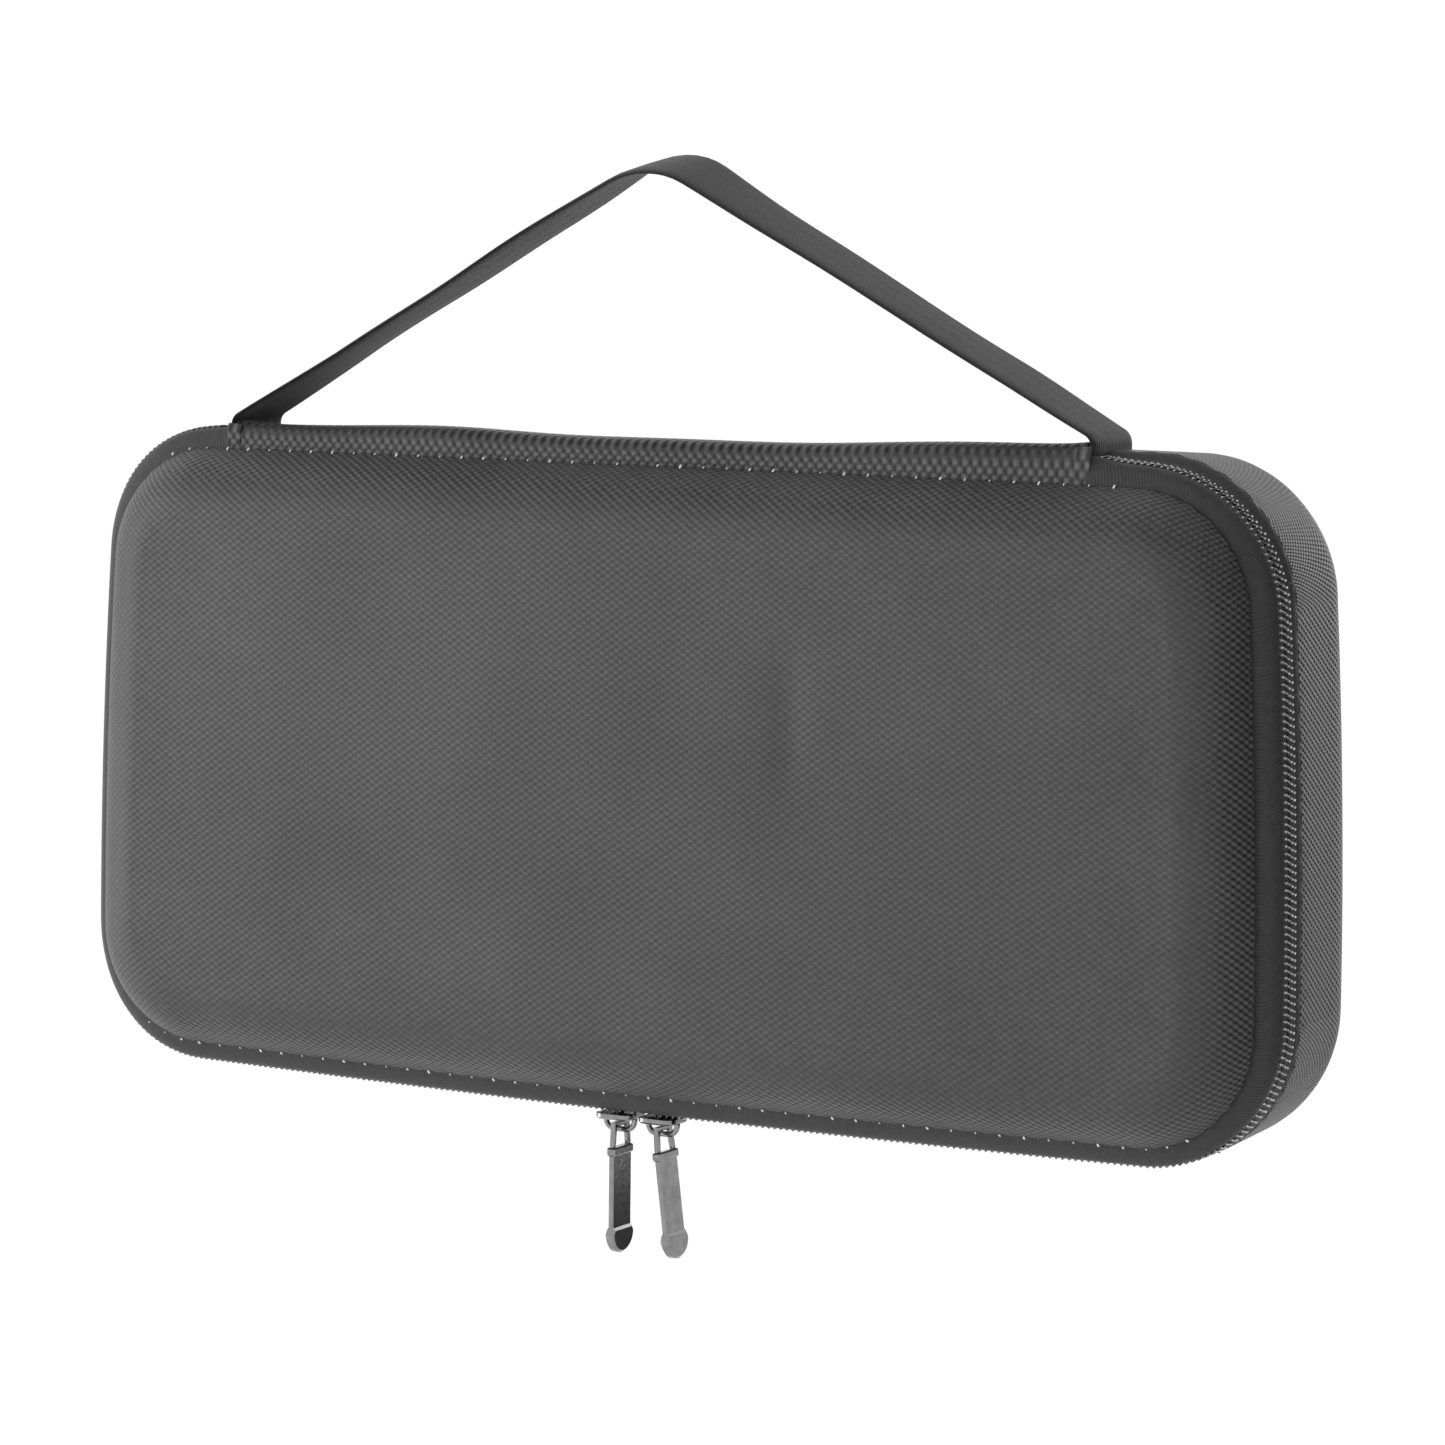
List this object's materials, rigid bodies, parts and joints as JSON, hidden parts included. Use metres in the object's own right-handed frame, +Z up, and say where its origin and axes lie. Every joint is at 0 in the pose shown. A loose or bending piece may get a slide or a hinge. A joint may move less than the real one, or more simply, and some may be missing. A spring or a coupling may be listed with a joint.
{
  "type": "headphone carrying case",
  "caption": "Rounded hard-shell carrying case in woven fabric, with a hinged lid, a two-slider zip and a webbing handle over the hinge.",
  "frame": {"origin": "where the case hangs from: on the underside of the handle's apex, in the plane where the lid meets the base", "axes": "+X along the width, +Y from the lid's front towards the base's back, +Z up"},
  "size_m": [0.3098, 0.061, 0.2463],
  "materials": {
    "shell_fabric": "coarse woven polyester, coated, dark charcoal",
    "eva_foam": "moulded closed-cell foam, black",
    "lining": "short-pile knitted lining, black",
    "zip_tape": "woven zip tape, dark grey",
    "zip_coil": "nylon coil, black, semi-gloss",
    "thread": "sewing thread, off-white",
    "dark_thread": "sewing thread, black",
    "binding": "woven edge binding, black",
    "mesh": "open mesh, black",
    "elastic": "ribbed elastic, black",
    "webbing": "fine ribbed webbing, charcoal",
    "gunmetal": "polished black-nickel plated zinc"
  },
  "bodies": {
    "base": {"base_cover": "shell_fabric", "base_shell": "eva_foam", "base_lining": "lining", "base_zip_tape": "zip_tape", "base_zip_coil": "zip_coil", "base_seam_thread": "dark_thread", "base_edge_binding": "binding", "hinge_strip": "shell_fabric", "strap_end_left": "webbing", "strap_end_right": "webbing"},
    "lid": {"lid_cover": "shell_fabric", "lid_shell": "eva_foam", "lid_lining": "lining", "lid_zip_tape": "zip_tape", "lid_zip_coil": "zip_coil", "lid_seam_thread": "thread", "lid_edge_binding": "binding", "pocket_mesh": "mesh", "pocket_elastic": "elastic"},
    "handle": {"handle_strap": "webbing"},
    "slider_left": {"slider_body_left": "gunmetal", "slider_crown_left": "gunmetal"},
    "slider_right": {"slider_body_right": "gunmetal", "slider_crown_right": "gunmetal"},
    "pull_left": {"pull_left": "gunmetal"},
    "pull_right": {"pull_right": "gunmetal"}
  },
  "joints": [
    {"name": "lid_hinge", "type": "hinge", "parent": "base", "child": "lid", "pos_m": [0, 0, -0.06], "axis": [-1, 0, 0], "range_deg": [0, 100], "deforming": ["hinge_strip"]},
    {"name": "handle_swing", "type": "hinge", "parent": "base", "child": "handle", "pos_m": [0, 0.0065, -0.06], "axis": [-1, 0, 0], "range_deg": [-80, 80], "deforming": ["handle_strap"]},
    {"name": "slider_left_travel", "type": "slide", "parent": "base", "child": "slider_left", "axis": [-1, 0, 0], "range_m": [0, 0.08]},
    {"name": "slider_right_travel", "type": "slide", "parent": "base", "child": "slider_right", "axis": [1, 0, 0], "range_m": [0, 0.08]},
    {"name": "pull_left_swing", "type": "hinge", "parent": "slider_left", "child": "pull_left", "pos_m": [-0.0056, 0, -0.21495], "axis": [0, 1, 0], "range_deg": [-8, 90]},
    {"name": "pull_right_swing", "type": "hinge", "parent": "slider_right", "child": "pull_right", "pos_m": [0.0056, 0, -0.21495], "axis": [0, -1, 0], "range_deg": [-15.5, 82.5]}
  ]
}
